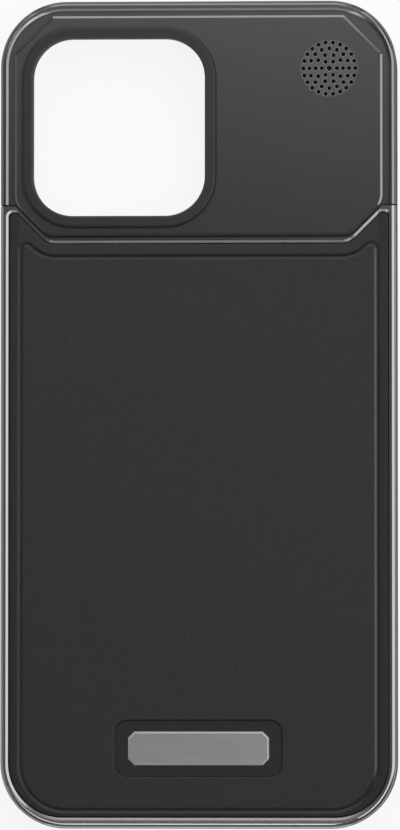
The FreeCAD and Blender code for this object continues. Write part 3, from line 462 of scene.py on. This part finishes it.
def make_leather():
    """The leather with rounded lips, slightly uneven, and how deep it is pressed at each point."""
    piece, skin = merged("leather_panel", "leather_back")
    low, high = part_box("leather_panel")
    soften(skin, LEATHER_ROUND, LEATHER_LIPS)
    rule(skin, low, high, LEATHER_GRID)
    pressed = skin.verts.layers.float.new("pressed")
    for vertex in skin.verts:
        depth = LEATHER_TOP - vertex.co.z / MM
        vertex[pressed] = min(max(depth / GROOVE_DEPTH, 0.0), 1.0)
        if depth < LEATHER_DEPTH / 2:
            vertex.co.z += WAVE_HEIGHT * MM * noise.noise(vertex.co * WAVES_PER_METRE)
    settle(piece, skin, SOFT_SHARP)
    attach(piece, "frame")
    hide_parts("leather_panel")
    return piece


def make_soft(node, name, body, radius_mm):
    """A soft sheet or disc: the node's form with rounded rims."""
    piece, skin = merged(node, name)
    soften(skin, radius_mm, above_mm=0.0)
    settle(piece, skin, SOFT_SHARP)
    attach(piece, body)
    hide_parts(node)
    return piece


def seen_ray(shade):
    """1 for what the camera sees, straight or in a mirror or a pane."""
    kinds = ("Is Camera Ray", "Is Glossy Ray", "Is Transmission Ray")
    camera, glossy, through = [shade.node("ShaderNodeLightPath", output=kind) for kind in kinds]
    return camera.most(glossy).most(through)


def make_floor():
    """A pale floor that is seen nearly white and keeps the case's shadow."""
    mesh = bpy.data.meshes.new("studio_floor")
    sheet = bmesh.new()
    bmesh.ops.create_grid(sheet, x_segments=1, y_segments=1, size=FLOOR_SIDE / 2)
    bmesh.ops.translate(sheet, verts=sheet.verts, vec=(0, 0, -FLOOR_DROP))
    sheet.to_mesh(mesh)
    sheet.free()
    floor = new_object("studio_floor", mesh)
    constants = {"Roughness": 0.9, "Specular IOR Level": 0.0, "Base Color": grey(FLOOR_PALE)}
    finish = Finish("pale_floor", constants)
    body = Shade(finish.tree, finish.shader.outputs[0])
    glow = finish.node("ShaderNodeEmission", values={"Color": grey(1.0), "Strength": 1.0})
    share = seen_ray(finish) * FLOOR_GLOW
    mixed = finish.node("ShaderNodeMixShader", values={0: share, 1: body, 2: glow})
    surface = finish.tree.nodes["Material Output"].inputs["Surface"]
    finish.tree.links.new(mixed.socket, surface)
    finish.cover(floor)


def make_world():
    """A dim room with a pale wall all round it, low down."""
    world = bpy.data.worlds.new("studio_world")
    world.use_nodes = True
    bpy.context.scene.world = world
    shade = Shade(world.node_tree)
    height = shade.node("ShaderNodeTexCoord", output="Generated").axis("Z")
    strength = 1 - (1 - ROOM_LEVEL) * height.step(*WALL_FADE)
    background = world.node_tree.nodes["Background"]
    background.inputs["Color"].default_value = grey(1.0)
    world.node_tree.links.new(strength.socket, background.inputs["Strength"])


def make_softbox(name, bearing, tilt, away, size, level):
    """A softbox that faces the case and has that radiance.

    It stands that far away, in metres, and is tilted from straight above towards a bearing,
    which runs from the case's right side towards its camera end. Both angles are in degrees.
    """
    lamp = bpy.data.lights.new(name, "AREA")
    lamp.shape = "RECTANGLE"
    lamp.size, lamp.size_y = size
    lamp.energy = level * math.pi * size[0] * size[1]
    box = new_object(name, lamp)
    swing = Matrix.Rotation(math.radians(bearing), 4, "Z")
    lean = Matrix.Rotation(math.radians(tilt), 4, "Y")
    box.matrix_world = swing @ lean @ Matrix.Translation((0, 0, away))
    box.visible_camera = False


def make_camera():
    """A long lens that looks down on the case, leaning a little to its right and its foot."""
    data = bpy.data.cameras.new("camera")
    data.sensor_fit = "VERTICAL"
    data.sensor_height = SENSOR_MM
    data.lens = LENS_MM
    lean_x, lean_y = [math.tan(math.radians(angle)) for angle in CAMERA_LEAN]
    back = Vector((lean_x, lean_y, 1)).normalized()
    right = Vector((0, 1, 0)).cross(back).normalized()
    above = back.cross(right)
    away = PICTURE_HEIGHT_PX / PIXELS_PER_MM * MM * LENS_MM / SENSOR_MM
    camera = new_object("camera", data)
    turn = Matrix((right, above, back)).transposed().to_4x4()
    camera.matrix_world = Matrix.Translation(CAMERA_TARGET + back * away) @ turn
    bpy.context.scene.camera = camera


cap = make_cap()
leather = make_leather()
cap_lining = make_soft("upper_lining", "cap_lining", "cap", LINING_ROUND)
frame_lining = make_soft("lower_lining", "frame_lining", "frame", LINING_ROUND)
felt = make_soft("scent_tablet", "scent_felt_disc", "cap", FELT_ROUND)

anodised("cap_metal_finish", flat=0.07, cut=0.2, wall=0.05, roughness=0.42, polish=0.16,
         painted_light_gradient=0.022, grille_painted_highlight=0.22).cover(cap)
anodised("frame_metal_finish", flat=0.085, cut=0.34, wall=0.055, roughness=0.3,
         polish=0.16).cover(NODES["lower_frame"])
anodised("guard_finish", flat=0.05, cut=0.05, wall=0.045, roughness=0.5,
         polish=0.42).cover(NODES["camera_guard"])
keys = [NODES[name] for name in ("volume_up_key", "volume_down_key", "power_key")]
anodised("key_finish", flat=0.1, cut=0.16, wall=0.08, roughness=0.35, polish=0.25).cover(*keys)
strips = [NODES[name] for name in ("volume_retainer", "power_retainer")]
brushed("badge_finish", level=0.3, roughness=0.42).cover(NODES["badge_plate"])
brushed("strip_finish", level=0.4, roughness=0.35).cover(*strips)
leather_finish().cover(leather)
cloth("lining_finish", level=0.045, pile_mm=0.18, depth_mm=0.05).cover(cap_lining, frame_lining)
cloth("felt_finish", level=0.012, pile_mm=0.3, depth_mm=0.08).cover(felt)
moulded("cover_finish", level=0.03).cover(NODES["scent_cover"])

make_floor()
make_world()
make_softbox("right_softbox", bearing=4, tilt=35.5, away=0.7, size=(0.7, 0.47), level=1.65)
make_softbox("top_softbox", bearing=90, tilt=44.5, away=0.36, size=(0.32, 0.4), level=1.5)
make_softbox("bottom_softbox", bearing=-90, tilt=18, away=0.7, size=(0.147, 0.4), level=2.2)
make_softbox("left_softbox", bearing=180, tilt=57, away=0.7, size=(0.32, 0.8), level=0.3)
make_camera()
bpy.context.scene.view_settings.view_transform = "Standard"
